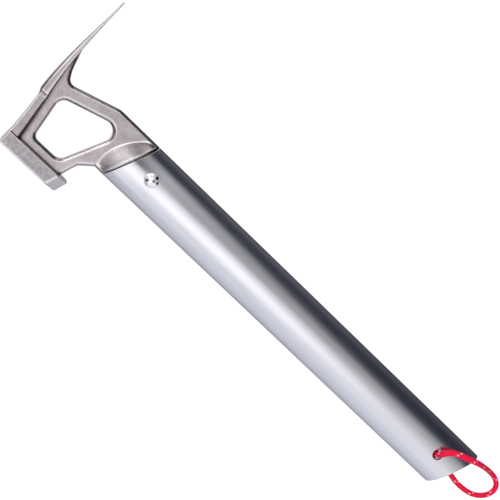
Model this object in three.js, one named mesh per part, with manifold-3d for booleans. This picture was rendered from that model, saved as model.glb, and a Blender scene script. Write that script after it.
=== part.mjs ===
// Camping stake hammer: a one-piece cast steel head with a striking block and a
// long stake-pulling pick, riveted by its tang into a flat-oval aluminium tube
// handle, with a short wrist cord through the butt end of the handle.
//
// Millimetres. The hammer lies on its side. While it is being built, the handle's
// axis is the X axis, +X points to the head, X = 0 is where the handle's head end
// crosses that axis, +Y is the way the hammer strikes, and the head's flat web lies
// in the plane Z = 0. At the end the whole group moves so that its origin is the
// centre of its footprint, on the surface it lies on.

import * as THREE from 'three';
import { mergeVertices } from 'three/addons/utils/BufferGeometryUtils.js';
import Module from 'manifold-3d';

const wasm = await Module();
wasm.setup();

// ---- driving dimensions ----

// Handle tube
const TUBE_LENGTH = 231;
const TUBE_HALF_WIDTH = 14;
const TUBE_HALF_THICKNESS = 7.3;
const TUBE_WALL = 1.5;
const OVAL_POWER = 2.3; // 2 is an ellipse; larger is flatter
const CUT_SLOPE = 0.414; // both ends are cut 22.5 degrees off square

// Head: web and window
const WEB_THICKNESS = 7;
const WEB_BEVEL = 0.9;

// Head: striking block
const BLOCK_LENGTH = 36;
const BLOCK_THICKNESS = 7;
const BLOCK_HALF_WIDTH = 12;
const BLOCK_BACK = 28; // its back face, above the handle's axis
const BLOCK_END = 51; // its end at the crown of the hammer
const BLOCK_CHAMFER = 5.6;
const BLOCK_END_SLOPE = 0.3; // lean of the end towards the handle

// Head: shoulder and tang
const JOINT_GAP = 0.4;
const LAND_LENGTH = 1.8; // the flush oval rim next to the tube
const SHOULDER_LENGTH = 10; // from the joint to the web, at mid width
const SHOULDER_EDGE_LENGTH = 5; // and at the edges
const TANG_LENGTH = 56;
const FIT_GAP = 0.3; // kept between pieces that touch
const RIM_STEP = 0.1; // the rim's faces lie this much below the tube's
const SHOULDER_INSET = 0.4; // the shoulder starts this much inside the tube's outline
const OVERLAP = 0.2; // how far the casting's joined parts run into each other

// Rivet
const RIVET_X = -12.4;
const RIVET_SHANK_RADIUS = 2;
const RIVET_DOME_RADIUS = 3.6;
const RIVET_DOME_HEIGHT = 1.7;
const RIVET_RIM_HEIGHT = 0.5; // the straight edge under the dome

// Wrist cord and its knot
const CORD_DIAMETER = 3;
const CORD_SIDES = 8;
const CORD_STEPS = 56;
const CORD_HOLE_X = -217;
const CORD_HOLE_RADIUS = 2.7;
const KNOT_CENTRE = [-216.85, 0.3, 0];
const KNOT_HALF_SIZE = [4.4, 4.6, 3.1];

// Fineness of round surfaces
const ARC_STEP = 0.2; // radians between the points of a rounded corner
const OVAL_SIDES = 56;
const DRILL_SIDES = 32;
const TURNED_SIDES = 28;
const DOME_STEPS = 6;
const KNOT_SIDES = 20;
const KNOT_RINGS = 12;
const SPLINE_STEPS = 10; // along each curved edge of an outline
const MERGE_DISTANCE = 1e-4;

// Corners of the web's outline, anticlockwise: x, y and the corner's radius
const WEB_CORNERS = [
  [-4, -14, 0],
  [20.2, -14, 9],
  [45.7, -6, 3.6],
  [48.9, -11.2, 20],
  [51.9, -23, 0],
  [54.2, -23, 0],
  [53.4, -6, 0],
  [51.2, 10, 0],
  [49.2, 30, 0],
  [20.4, 30, 0],
  [17, 19, 4],
  [10.4, 13.4, 2.5],
  [6, 13.4, 0],
];
const WINDOW_CORNERS = [
  [25.1, 23.25, 4.8],
  [10.5, -9.1, 5.2],
  [44.2, 1.25, 4.5],
  [40.6, 23.25, 3],
];

// Side profile of the spine and the pick below it: outer edge, then inner edge
const SPINE_TOP = 29.5;
const STEP_Y = [6.3, 4.7]; // a short slope where the wider pick begins
const SPINE_OUTER = [[50.7, SPINE_TOP], [51.5, 18], [52.8, STEP_Y[0]]];
const PICK_OUTER = [[54, STEP_Y[1]], [54.8, -9], [54.5, -28], [53.7, -51]];
const PICK_INNER = [[52.9, -51], [52.6, -28], [51.4, -9], [49.5, STEP_Y[1]]];
const SPINE_INNER = [[49.2, STEP_Y[0]], [47.9, 16], [45.9, SPINE_TOP]];
// Half widths of the same two, at heights along Y
const CROWN_X = [40, 60]; // the stretch of X that holds the spine and the pick
const CROWN_HALF_WIDTHS = [
  [SPINE_TOP, 11],
  [STEP_Y[0], 8.6],
  [STEP_Y[1], 9.8],
  [-12, 8.4],
  [-32, 4.4],
  [-51, 1.3],
];

// The cord's route, from the top of the knot out through the upper hole, over the
// handle's corner, round its loop on the surface, and up into the lower hole
const CORD_ROUTE = [
  [-216.85, 0.45, 3.4],
  [-216.85, 0.45, 4.6],
  [-216.95, 0.15, 6.6],
  [-217.25, -0.85, 8.4],
  [-217.75, -2.4, 9.7],
  [-218.7, -4.2, 10.35],
  [-220.7, -5.9, 10.35],
  [-223.7, -7.3, 10],
  [-228, -8.7, 9.3],
  [-232.8, -10.1, 8.2],
  [-237.6, -11.2, 5.7],
  [-242.6, -11.8, 1.8],
  [-247.8, -12.2, -3.2],
  [-253.2, -12.4, -7.6],
  [-258.6, -12, -10],
  [-262.4, -10.2, -10.4],
  [-264, -7, -10.4],
  [-263.2, -3.2, -10.4],
  [-260.2, 0.4, -10.4],
  [-255.6, 2.9, -10.4],
  [-249.8, 4, -10.4],
  [-243.6, 3.9, -10.4],
  [-237.4, 2.7, -10.4],
  [-231.4, 1.3, -10.4],
  [-226, 0.4, -10.4],
  [-222.6, 0.2, -10.3],
  [-220.2, 0.2, -9.75],
  [-218.2, 0.2, -8.25],
  [-217.15, 0.2, -6.4],
  [-216.8, 0.2, -4.6],
  [-216.8, 0.2, -3.4],
];

// ---- helpers: solids, outlines and sweeps ----

// A closed three.js geometry as a Manifold solid.
function solid(geometry) {
  const bare = geometry.clone();
  bare.deleteAttribute('normal');
  bare.deleteAttribute('uv');
  const merged = mergeVertices(bare, MERGE_DISTANCE);
  return new wasm.Manifold(new wasm.Mesh({
    numProp: 3,
    vertProperties: new Float32Array(merged.attributes.position.array),
    triVerts: new Uint32Array(merged.index.array),
  }));
}

// A Manifold solid as a three.js geometry.
function geometryOf(manifold) {
  const mesh = manifold.getMesh();
  const geometry = new THREE.BufferGeometry();
  geometry.setAttribute('position', new THREE.BufferAttribute(new Float32Array(mesh.vertProperties), 3));
  geometry.setIndex(Array.from(mesh.triVerts));
  geometry.computeVertexNormals();
  return geometry;
}

// The points of a closed outline through [x, y, radius] corners, each rounded by an arc.
function roundedPoints(corners) {
  return corners.flatMap(([x, y, radius], i) => {
    const corner = new THREE.Vector2(x, y);
    if (radius === 0) return [corner];
    const before = corners.at(i - 1);
    const after = corners[(i + 1) % corners.length];
    const toBefore = new THREE.Vector2(before[0], before[1]).sub(corner).normalize();
    const toAfter = new THREE.Vector2(after[0], after[1]).sub(corner).normalize();
    const halfAngle = Math.acos(toBefore.dot(toAfter)) / 2;
    const towardsCentre = toBefore.clone().add(toAfter).normalize();
    const centre = corner.clone().addScaledVector(towardsCentre, radius / Math.sin(halfAngle));
    const sweep = (Math.PI - 2 * halfAngle) * -Math.sign(toBefore.cross(toAfter));
    const steps = Math.ceil(Math.abs(sweep) / ARC_STEP);
    const spoke = corner.clone().addScaledVector(toBefore, radius / Math.tan(halfAngle)).sub(centre);
    const origin = new THREE.Vector2();
    return Array.from({ length: steps + 1 }, (_, k) =>
      spoke.clone().rotateAround(origin, (sweep * k) / steps).add(centre));
  });
}

// Points round a flat oval, anticlockwise from +y, evenly spread by angle.
function ovalPoints(halfWidth, halfThickness) {
  const points = [];
  for (let i = 0; i < OVAL_SIDES; i++) {
    const angle = (2 * Math.PI * i) / OVAL_SIDES;
    const c = Math.cos(angle);
    const s = Math.sin(angle);
    const y = halfWidth * Math.sign(c) * Math.abs(c) ** (2 / OVAL_POWER);
    const z = halfThickness * Math.sign(s) * Math.abs(s) ** (2 / OVAL_POWER);
    points.push(new THREE.Vector2(y, z));
  }
  return points;
}

// Moves each vertex of a geometry by a rule (x, y, z) -> [x, y, z].
function reshape(geometry, rule) {
  const position = geometry.attributes.position;
  for (let i = 0; i < position.count; i++) {
    position.setXYZ(i, ...rule(position.getX(i), position.getY(i), position.getZ(i)));
  }
  return geometry;
}

// A section in the Y-Z plane swept along the handle, its ends cut on the slant.
function alongHandle(section, fromX, toX) {
  const prism = new THREE.ExtrudeGeometry(section, { depth: toX - fromX, bevelEnabled: false });
  return reshape(prism, (y, z, along) => [fromX + along + CUT_SLOPE * y, y, z]);
}

// A section in the Y-Z plane swept square along X.
function alongX(section, fromX, toX) {
  const prism = new THREE.ExtrudeGeometry(section, { depth: toX - fromX, bevelEnabled: false });
  return reshape(prism, (y, z, along) => [fromX + along, y, z]);
}

// An outline in the X-Y plane, extruded both ways from Z = 0.
function plate(outline, thickness, bevel = 0) {
  const geometry = new THREE.ExtrudeGeometry(outline, {
    depth: thickness - 2 * bevel,
    curveSegments: SPLINE_STEPS,
    bevelEnabled: bevel > 0,
    bevelThickness: bevel,
    bevelSize: bevel,
    bevelOffset: -bevel,
    bevelSegments: 1,
  });
  return geometry.translate(0, 0, bevel - thickness / 2);
}

// A round bar along Z, used to drill a hole right through.
function drill(x, radius) {
  const reach = 3 * TUBE_HALF_THICKNESS;
  const bar = new THREE.CylinderGeometry(radius, radius, reach, DRILL_SIDES);
  return solid(bar.rotateX(Math.PI / 2).translate(x, 0, 0));
}

// ---- the pieces ----

function handleTube() {
  const section = new THREE.Shape(ovalPoints(TUBE_HALF_WIDTH, TUBE_HALF_THICKNESS));
  const bore = ovalPoints(TUBE_HALF_WIDTH - TUBE_WALL, TUBE_HALF_THICKNESS - TUBE_WALL);
  section.holes.push(new THREE.Path(bore));
  const tube = solid(alongHandle(section, -TUBE_LENGTH, 0));
  const rivetHole = drill(RIVET_X, RIVET_SHANK_RADIUS + FIT_GAP);
  const cordHoles = drill(CORD_HOLE_X, CORD_HOLE_RADIUS);
  return geometryOf(tube.subtract(rivetHole).subtract(cordHoles));
}

// The flat web between handle, block and pick, with its rounded window.
function headWeb() {
  const outline = new THREE.Shape(roundedPoints(WEB_CORNERS));
  outline.holes.push(new THREE.Path(roundedPoints(WINDOW_CORNERS)));
  return solid(plate(outline, WEB_THICKNESS, WEB_BEVEL));
}

// The striking block: a thick plate, its end towards the handle chamfered and leaning.
function strikingBlock() {
  const near = BLOCK_END - BLOCK_LENGTH;
  const side = BLOCK_HALF_WIDTH;
  const plan = new THREE.Shape([
    new THREE.Vector2(near, side - BLOCK_CHAMFER),
    new THREE.Vector2(near, BLOCK_CHAMFER - side),
    new THREE.Vector2(near + BLOCK_CHAMFER, -side),
    new THREE.Vector2(BLOCK_END, -side),
    new THREE.Vector2(BLOCK_END, side),
    new THREE.Vector2(near + BLOCK_CHAMFER, side),
  ]);
  const prism = new THREE.ExtrudeGeometry(plan, { depth: BLOCK_THICKNESS, bevelEnabled: false });
  return solid(reshape(prism, (x, z, down) => {
    const rise = BLOCK_THICKNESS - down;
    const lean = x < BLOCK_END ? BLOCK_END_SLOPE * rise : 0;
    return [x + lean, BLOCK_BACK + rise, z];
  }));
}

// The spine behind the web and the long pick: the side profile crossed with the front one.
function spineAndPick() {
  const vectors = (points) => points.map(([x, y]) => new THREE.Vector2(x, y));
  const side = new THREE.Shape();
  side.moveTo(...SPINE_OUTER[0]);
  side.splineThru(vectors(SPINE_OUTER.slice(1)));
  side.lineTo(...PICK_OUTER[0]);
  side.splineThru(vectors(PICK_OUTER.slice(1)));
  side.lineTo(...PICK_INNER[0]);
  side.splineThru(vectors(PICK_INNER.slice(1)));
  side.lineTo(...SPINE_INNER[0]);
  side.splineThru(vectors(SPINE_INNER.slice(1)));
  side.closePath();
  const upperEdge = CROWN_HALF_WIDTHS.map(([y, half]) => new THREE.Vector2(y, half));
  const lowerEdge = CROWN_HALF_WIDTHS.map(([y, half]) => new THREE.Vector2(y, -half)).reverse();
  const front = new THREE.Shape([...upperEdge, ...lowerEdge]);
  return solid(plate(side, 2 * BLOCK_HALF_WIDTH)).intersect(solid(alongX(front, ...CROWN_X)));
}

// The shoulder: from the oval rim down to the web, its lower end a curve across the web.
function shoulder() {
  const rimWidth = TUBE_HALF_WIDTH - SHOULDER_INSET;
  const rim = ovalPoints(rimWidth, TUBE_HALF_THICKNESS - SHOULDER_INSET);
  const webHeight = WEB_THICKNESS / 2 - OVERLAP;
  const start = JOINT_GAP + LAND_LENGTH - OVERLAP;
  const near = rim.map(({ x: y, y: z }) => new THREE.Vector3(start + CUT_SLOPE * y, y, z));
  const far = rim.map(({ x: y, y: z }) => {
    const middle = 1 - (y / rimWidth) ** 2;
    const length = SHOULDER_EDGE_LENGTH + (SHOULDER_LENGTH - SHOULDER_EDGE_LENGTH) * middle;
    const height = Math.sign(z) * Math.min(Math.abs(z), webHeight);
    return new THREE.Vector3(length + CUT_SLOPE * y, y, height);
  });
  return solid(skin(near, far));
}

// A closed body between two rings that are mirror images above and below Z = 0.
function skin(near, far) {
  const count = near.length;
  const position = [...near, ...far].flatMap((point) => point.toArray());
  const index = [];
  for (let i = 0; i < count; i++) {
    const next = (i + 1) % count;
    index.push(i, next, count + next, i, count + next, count + i);
  }
  for (let i = 0; i < count / 2; i++) {
    const mirror = (count - i) % count;
    const mirrorNext = count - i - 1;
    const strip = [[i, mirrorNext, i + 1], [i, mirror, mirrorNext]];
    for (const [a, b, c] of strip) {
      if (a === b || b === c || a === c) continue;
      index.push(a, b, c);
      index.push(count + a, count + c, count + b);
    }
  }
  const geometry = new THREE.BufferGeometry();
  geometry.setAttribute('position', new THREE.Float32BufferAttribute(position, 3));
  geometry.setIndex(index);
  return geometry;
}

// The rim that meets the tube, and the tang that fills the tube behind it.
function tang() {
  const rimShape = new THREE.Shape(ovalPoints(TUBE_HALF_WIDTH, TUBE_HALF_THICKNESS - RIM_STEP));
  const rim = solid(alongHandle(rimShape, JOINT_GAP, JOINT_GAP + LAND_LENGTH));
  const inset = TUBE_WALL + FIT_GAP;
  const tangShape = new THREE.Shape(ovalPoints(TUBE_HALF_WIDTH - inset, TUBE_HALF_THICKNESS - inset));
  const core = solid(alongHandle(tangShape, -TANG_LENGTH, JOINT_GAP + LAND_LENGTH));
  return rim.add(core).subtract(drill(RIVET_X, RIVET_SHANK_RADIUS + FIT_GAP));
}

function hammerHead() {
  const body = headWeb().add(strikingBlock()).add(spineAndPick());
  return geometryOf(body.add(shoulder()).add(tang()));
}

// A shank with a low dome on each end, turned about Z.
function rivet() {
  const under = TUBE_HALF_THICKNESS + FIT_GAP;
  const top = under + RIVET_DOME_HEIGHT;
  const rimTop = under + RIVET_RIM_HEIGHT;
  const dome = [];
  for (let i = 0; i <= DOME_STEPS; i++) {
    const angle = (Math.PI / 2) * (i / DOME_STEPS);
    const height = rimTop + (top - rimTop) * Math.cos(angle);
    dome.push(new THREE.Vector2(RIVET_DOME_RADIUS * Math.sin(angle), height));
  }
  const domeFoot = new THREE.Vector2(RIVET_DOME_RADIUS, under);
  const shankEnd = new THREE.Vector2(RIVET_SHANK_RADIUS, under);
  const half = [...dome, domeFoot, shankEnd];
  const otherHalf = half.map(({ x, y }) => new THREE.Vector2(x, -y)).reverse();
  const profile = [...half, ...otherHalf].reverse();
  return new THREE.LatheGeometry(profile, TURNED_SIDES).rotateX(Math.PI / 2).translate(RIVET_X, 0, 0);
}

function wristCord() {
  const route = new THREE.CatmullRomCurve3(CORD_ROUTE.map((point) => new THREE.Vector3(...point)));
  const section = new THREE.Shape();
  for (let i = 0; i < CORD_SIDES; i++) {
    const angle = (2 * Math.PI * (i + 0.5)) / CORD_SIDES;
    const x = (CORD_DIAMETER / 2) * Math.cos(angle);
    const y = (CORD_DIAMETER / 2) * Math.sin(angle);
    if (i === 0) section.moveTo(x, y);
    else section.lineTo(x, y);
  }
  section.closePath();
  return new THREE.ExtrudeGeometry(section, { steps: CORD_STEPS, extrudePath: route });
}

// The knot that joins the cord's ends inside the tube, too big for either hole.
function cordKnot() {
  const knot = new THREE.SphereGeometry(1, KNOT_SIDES, KNOT_RINGS);
  return knot.scale(...KNOT_HALF_SIZE).translate(...KNOT_CENTRE);
}

// ---- materials ----

const castSteel = new THREE.MeshStandardMaterial({ color: 0xb4a8aa, metalness: 1, roughness: 0.38 });
const brushedAluminium = new THREE.MeshStandardMaterial({ color: 0xc4c4ca, metalness: 1, roughness: 0.3 });
const polishedSteel = new THREE.MeshStandardMaterial({ color: 0xdcdcde, metalness: 1, roughness: 0.12 });
const redCord = new THREE.MeshStandardMaterial({ color: 0xd8173c, metalness: 0, roughness: 0.75 });

// ---- assembly ----

const hammer = new THREE.Group();

function place(name, geometry, material) {
  const mesh = new THREE.Mesh(geometry, material);
  mesh.name = name;
  hammer.add(mesh);
}

place('head_casting', hammerHead(), castSteel);
place('handle_tube', handleTube(), brushedAluminium);
place('head_rivet', rivet(), polishedSteel);

// The footprint is taken before the cord is added, because the cord isn't part of it.
const footprint = new THREE.Box3().setFromObject(hammer);

place('wrist_cord', wristCord(), redCord);
place('cord_knot', cordKnot(), redCord);

const middle = footprint.getCenter(new THREE.Vector3());
hammer.position.set(-middle.x, -middle.y, -footprint.min.z);

export default hammer;
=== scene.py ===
"""Looks of the camping stake hammer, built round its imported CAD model.

The head is one casting, shaped as a distance field in millimetres along the handle's own
axes: X runs along the handle to the head, Y is the way the hammer strikes and Z comes out
of the head's flat side. The tube, rivet, cord and knot are meshes in the same axes.
Everything ends in metres, at the place of the CAD part that it stands for.
"""

import math

import bpy
import numpy as np
from mathutils import Matrix, Vector


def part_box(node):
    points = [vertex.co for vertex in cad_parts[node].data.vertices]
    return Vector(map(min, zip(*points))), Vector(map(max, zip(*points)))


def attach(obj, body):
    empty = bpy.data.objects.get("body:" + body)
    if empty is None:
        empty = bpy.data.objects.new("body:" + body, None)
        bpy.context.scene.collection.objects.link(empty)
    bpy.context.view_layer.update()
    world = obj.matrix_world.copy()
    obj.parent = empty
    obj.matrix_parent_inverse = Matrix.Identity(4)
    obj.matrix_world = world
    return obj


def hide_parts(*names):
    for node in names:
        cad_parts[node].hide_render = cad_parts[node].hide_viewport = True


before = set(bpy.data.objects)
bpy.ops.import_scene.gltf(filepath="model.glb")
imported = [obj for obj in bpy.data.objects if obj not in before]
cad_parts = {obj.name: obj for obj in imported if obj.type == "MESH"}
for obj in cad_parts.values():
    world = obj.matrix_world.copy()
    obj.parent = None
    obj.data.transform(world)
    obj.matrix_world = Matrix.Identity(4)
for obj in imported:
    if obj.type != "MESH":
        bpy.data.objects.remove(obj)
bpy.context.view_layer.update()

MM = 0.001

# ---- places and sizes that come from the frame ----

TUBE_LOW, TUBE_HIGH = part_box("handle_tube")
RIVET_LOW, RIVET_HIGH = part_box("head_rivet")
RIVET_X = -12.4  # millimetres from the tube's head end
ORIGIN = np.array([
    (RIVET_LOW.x + RIVET_HIGH.x) / 2 - RIVET_X * MM,
    (TUBE_LOW.y + TUBE_HIGH.y) / 2,
    (TUBE_LOW.z + TUBE_HIGH.z) / 2,
])

TUBE_HALF_WIDTH = (TUBE_HIGH.y - TUBE_LOW.y) / 2 / MM
TUBE_HALF_THICKNESS = (TUBE_HIGH.z - TUBE_LOW.z) / 2 / MM
CUT_SLOPE = 0.414  # lean of both cut ends, X for each unit of Y
CUT_COSINE = 1 / math.hypot(1, CUT_SLOPE)
TUBE_LENGTH = (TUBE_HIGH.x - TUBE_LOW.x) / MM - 2 * CUT_SLOPE * TUBE_HALF_WIDTH
TUBE_WALL = 1.5
OVAL_POWER = 2.3  # 2 is an ellipse, and larger is flatter

# ---- the head's dimensions, in millimetres along the handle's axes ----

WEB_HALF_THICKNESS = 3.5
WEB_EDGE = 2.0
WEB_CORNERS = [  # x, y and the corner's radius
    (-4, -14, 0), (20.2, -14, 9), (45.7, -6, 3.6), (48.9, -11.2, 20),
    (52.6, -23, 0), (54.2, -23, 0), (53.4, -6, 0), (51.2, 10, 0),
    (49.2, 30, 0), (20.4, 30, 0), (17, 19, 4), (10.4, 13.4, 2.5),
    (6, 13.4, 0),
]
WINDOW_CORNERS = [
    (25.1, 23.25, 4.8), (10.5, -9.1, 5.2), (44.2, 1.25, 4.5), (40.6, 23.25, 3),
]
ARC_STEP = 0.2  # radians between the points of a rounded corner

BLOCK_BACK, BLOCK_FACE = 28, 35  # along Y
BLOCK_NEAR, BLOCK_CROWN = 15, 51  # along X
BLOCK_HALF_WIDTH = 12
BLOCK_CHAMFER = 5.6
BLOCK_END_SLOPE = 0.3
BLOCK_EDGE = 0.45

# Spine and pick: (y, x) points of the outer and inner edges, and (y, half width)
SPINE_OUTER = [(29.5, 50.7), (18, 51.5), (6.3, 52.8)]
SPINE_INNER = [(29.5, 45.9), (16, 47.9), (6.3, 49.2)]
PICK_OUTER = [(4.7, 54), (-9, 54.8), (-28, 54.5), (-51, 53.7)]
PICK_INNER = [(4.7, 49.5), (-9, 51.4), (-28, 52.6), (-51, 52.9)]
SPINE_HALF_WIDTHS = [(29.5, 11.8), (6.3, 8.6)]
PICK_HALF_WIDTHS = [(4.7, 9.8), (-12, 8.4), (-32, 4.4), (-51, 1.3)]
STEP_TOP, STEP_BOTTOM = 6.8, 4.2  # the short slope where the wider pick begins, along Y
SPINE_TOP = 28.7
PICK_TIP = -51
TIP_MARGIN = 2  # the pick's outline is followed this far past its tip
SPINE_BACK_EDGE = 0.25  # radius along the outer edges of the spine
PICK_BACK_EDGE = 1.2  # and of the pick
SPINE_INNER_EDGES = [(29.5, 0.6), (6.3, 0.3)]  # (y, radius) along the inner edges
PICK_INNER_EDGES = [(4.7, 0.2), (-51, 0.2)]
THIN_EDGE = 0.4  # the largest edge radius, as a share of the blade's thickness

PICK_FILLET = 0.5  # radius between the web and the pick
SPINE_FILLET = 2.4  # and between the web and the spine
FILLET_CHANGE = (-8, 20)  # the stretch of Y over which the first turns into the second
BLOCK_FILLET = 0.5
BLOCK_CREASE_SHARE = 3.3  # the painted shade in the corner lies this much narrower along the block than along the spine
TAIL_START = 22  # from this Y towards the pick the painted shade thins out
TAIL_THINNING = 0.05  # by this much for each unit of Y

JOINT_GAP = 0.3
LAND_END = 1.7  # the flush oval rim runs from the gap to here
RIM_STEP = 0.1  # its flat sides lie this far below the tube's
RIM_EDGE = 0.2
RIM_OVERLAP = 1  # the shoulder starts this far inside the rim
SHOULDER_INSET = 0.15
SHOULDER_LENGTH = 10  # in the middle, from the tube's end
SHOULDER_EDGE_LENGTH = 5
SHOULDER_DROP = 3  # how fast it falls away inside the web, past its end
SHOULDER_BLEND = 0.3  # the shoulder eases into the web over this height
TANG_LENGTH = 56
TANG_INSET = 1.8
RIVET_HOLE_RADIUS = 2.3

BLOCK_SKIN = 0.12  # whatever lies this close to the block's surface counts as the block
CHAMFER_LEAN = 0.5  # a chamfer's normal leans at least this much to the handle and to the side
FLAT_TILT = 0.86  # only a surface whose normal has this much of Z gets rubbed edges, worn bare metal with a painted highlight
RIDGE_AWAY = 9  # stands for anywhere that isn't near the shoulder's arc
JOINT_SHADE_SPREAD = 0.05  # the painted shade by the joint is this much wider for each unit of Y towards the pick

HEAD_LOW = (-63, -52.5, -13.5)
HEAD_HIGH = (57, 36.5, 13.5)
HEAD_GRID = 0.3
SLABS = 16  # the grid is worked through in this many parts
GRADIENT_STEP = 0.03
SLOPE_STEP = 0.05
BEND_STEP = 0.5
LEAST_SLOPE = 0.05  # the least squared slope that a point's move is divided by
NORMAL_REACH = 0.12  # shading rounds off a sharp corner over this distance

# ---- tube, rivet, cord and knot, in millimetres ----

TUBE_SIDES = 144
TUBE_RINGS = 36
TUBE_EDGE = 0.2  # radius round both ends
EDGE_POINTS = 4
CORD_HOLE_X = -217
CORD_HOLE_RADIUS = 2.7
HOLE_EDGE = 0.35  # bevel round each hole
HOLE_SIDES = 64
CUTTER_LIFT = 0.1  # the hole cutter's flare ends this far above the tube's flat side
CUTTER_REACH = 3  # and the cutter itself ends here
WALL_TOLERANCE = 0.004  # how far off the oval a point may be and still get its normal

RIVET_DOME_RADIUS = 3.6
RIVET_DOME_HEIGHT = 1.7
RIVET_SHANK_RADIUS = 2.0
RIVET_UNDER = 7.6  # height of its head's underside
RIVET_SIDES = 72
DOME_SHARE = 0.94  # the round part runs out to this share of the head's radius
DOME_STEPS = 16
LIP_BEVEL = 0.12
LIP_HEIGHT = 0.04
LIP_UNDERCUT = 0.06
SHANK_BEVEL = 0.1
RIVET_DARK_SPOTS = [  # x and y from its middle, radius, and how dark it is
    (-1.1, -2.75, 1.15, 1.0),
    (-3.0, -1.0, 0.95, 0.9),
    (1.85, 1.35, 1.05, 0.85),
    (-0.8, -0.5, 0.9, 0.7),
]
SPOT_RAGGED = 0.15
SPOT_CORE = 0.55  # a spot is at its darkest within this share of its radius

CORD_DIAMETER = 0.003  # metres
CORD_RADIUS = CORD_DIAMETER / MM / 2
# The cord's route from the knot out of the upper hole, over the handle's corner, round its
# loop on the floor and up into the lower hole
CORD_ROUTE = [
    (-216.85, 0.45, 3.4), (-216.85, 0.45, 4.6), (-216.95, 0.15, 6.6), (-217.25, -0.85, 8.4),
    (-217.75, -2.4, 9.7), (-218.7, -4.2, 10.35), (-220.7, -5.9, 10.35), (-223.7, -7.3, 10),
    (-228, -8.7, 9.3), (-232.8, -10.1, 8.2), (-237.6, -11.2, 5.7), (-242.6, -11.8, 1.8),
    (-247.8, -12.2, -3.2), (-253.2, -12.4, -7.6), (-258.6, -12, -10), (-262.4, -10.2, -10.4),
    (-264, -7, -10.4), (-263.2, -3.2, -10.4), (-260.2, 0.4, -10.4), (-255.6, 2.9, -10.4),
    (-249.8, 4, -10.4), (-243.6, 3.9, -10.4), (-237.4, 2.7, -10.4), (-231.4, 1.3, -10.4),
    (-226, 0.4, -10.4), (-222.6, 0.2, -10.3), (-220.2, 0.2, -9.75), (-218.2, 0.2, -8.25),
    (-217.15, 0.2, -6.4), (-216.8, 0.2, -4.6), (-216.8, 0.2, -3.4),
]

ROUTE_STEP = 0.05  # a share of the stretch between two of its points
CORD_RING_STEP = 0.3
CORD_SWELL = ((4, 8, 22, 40), (1, 1.12, 1.12, 0.94))  # distance along, and share of the radius
CORD_SIDES = 40
START_SIDE = (0.3, 0.9, 0.1)  # any direction that the cord doesn't start along
BRAID_STRANDS = 6  # in each direction
BRAID_PITCH = 11.0  # one strand's turn round the cord
BRAID_RELIEF = 0.11
BRAID_LOW, BRAID_RISE = 0.55, 0.45  # a strand's height where it dips under, and its rise from there
BRAID_MEAN = 0.75  # the height that lies at the cord's own radius
KNOT_CENTRE = np.array((-216.85, 0.3, 0))
KNOT_SCALE = np.array((1.0, 1.0, 1.15))
KNOT_POINTS = 150
KNOT_THINNER = 0.2  # the knot's cord is squeezed by this much in radius

# ---- surfaces ----

# Noise is in cycles per metre and bumps are in millimetres. Nearly all noise has these values
NOISE_MIDDLE = (0.35, 0.65)
NOISE_RANGE = (0.3, 0.7)

CAST_CLOUDS = 160
CAST_BLOTCHES = 620
CAST_GRAIN = 1900
CAST_ROUGHNESS = (0.22, 0.31)
CAST_BUMP = 0.04
CAST_DARK = (0.53, 0.47, 0.49, 1)
CAST_LIGHT = (0.72, 0.65, 0.672, 1)
CAST_SPECK = (0.45, 0.39, 0.41, 1)
CAST_BLOTCH = (0.36, 0.31, 0.33, 1)
CAST_BLOCK = (0.36, 0.35, 0.37, 1)
# painted shade for the web beside its corners with the spine and the block
CAST_CREASE_SHADE = (0.26, 0.2, 0.21, 1)
# painted highlight, and the tone of worn bare metal
CAST_BARE_HIGHLIGHT = (0.95, 0.9, 0.9, 1)
# painted shade for the pick's outer side
CAST_PICK_SHADE = (0.12, 0.1, 0.11, 1)
# near-black painted shade for the deepest corners and the joint's gap
CAST_DEEP_SHADE = (0.035, 0.02, 0.026, 1)

SPECK_DEPTH = 0.4
BLOTCH_FADE, BLOTCH_DEPTH = (0.5, 0.68), 0.3
BLOCK_SPOT_FADE, BLOCK_SPOT_DEPTHS = (0.35, 0.6), (0.25, 0.8)
# Distances over which marks fade, in millimetres, and how strong they are to start with
CORNER_RAGGED = 0.9  # the grain moves the edge of the corners' painted shade by up to half of this
CORNER_SHADE_FADE = (0.6, 1.65)  # painted shade, from the web's corner with the spine and the block
# painted shade beside those corners: how far it fades, and how dark it starts
CREASE_SHADE_FADE, CREASE_SHADE_DEPTH = (0.8, 3.4), 0.75
JOINT_SHADE_FADE, JOINT_SHADE_DEPTH = (0.2, 0.7), 0.8  # painted shade, from the joint
ARC_FADE, ARC_HIGHLIGHT = (0.12, 0.4), 0.85  # painted highlight, in height from the shoulder's arc
RIM_LIP = 1.45  # the painted highlight on the rim's lip lies this far from the joint
LIP_FADE, LIP_HIGHLIGHT = (0.15, 0.45), 0.9
# painted highlight on the block's chamfers
CHAMFER_HIGHLIGHT = 0.9
# Shares of the way across the pick from its inner edge: a painted highlight first, and then painted
# shade
PICK_HIGHLIGHT = (0.45, 0.1)
PICK_SHADE_FADE, PICK_SHADE_DEPTH = (0.7, 0.9), 0.95
# How sharply an edge bends: rubbed edges are worn bare metal with a painted highlight; blunt ones
# aren't rubbed, and the sharpest are rubbed less
RUBBED_HIGHLIGHT_BEND, RUBBED_HIGHLIGHT = (0.25, 0.6), 0.9
SHARP_BEND, SHARP_SHARE = (1.2, 2.2), 0.25

FINE_STREAKS = (60, 7000, 7000)  # along X, Y and Z
BROAD_STREAKS = (14, 700, 700)
FINE_SHARE = 0.6
TUBE_CLOUDS = 45
CLOUD_FADE, CLOUD_DEPTH = (0.4, 0.7), 0.25
TUBE_ROUGHNESS = (0.16, 0.24)
TUBE_BUMP = 0.012
TUBE_DARK = (0.80, 0.80, 0.86, 1)
TUBE_LIGHT = (0.89, 0.89, 0.945, 1)
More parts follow.
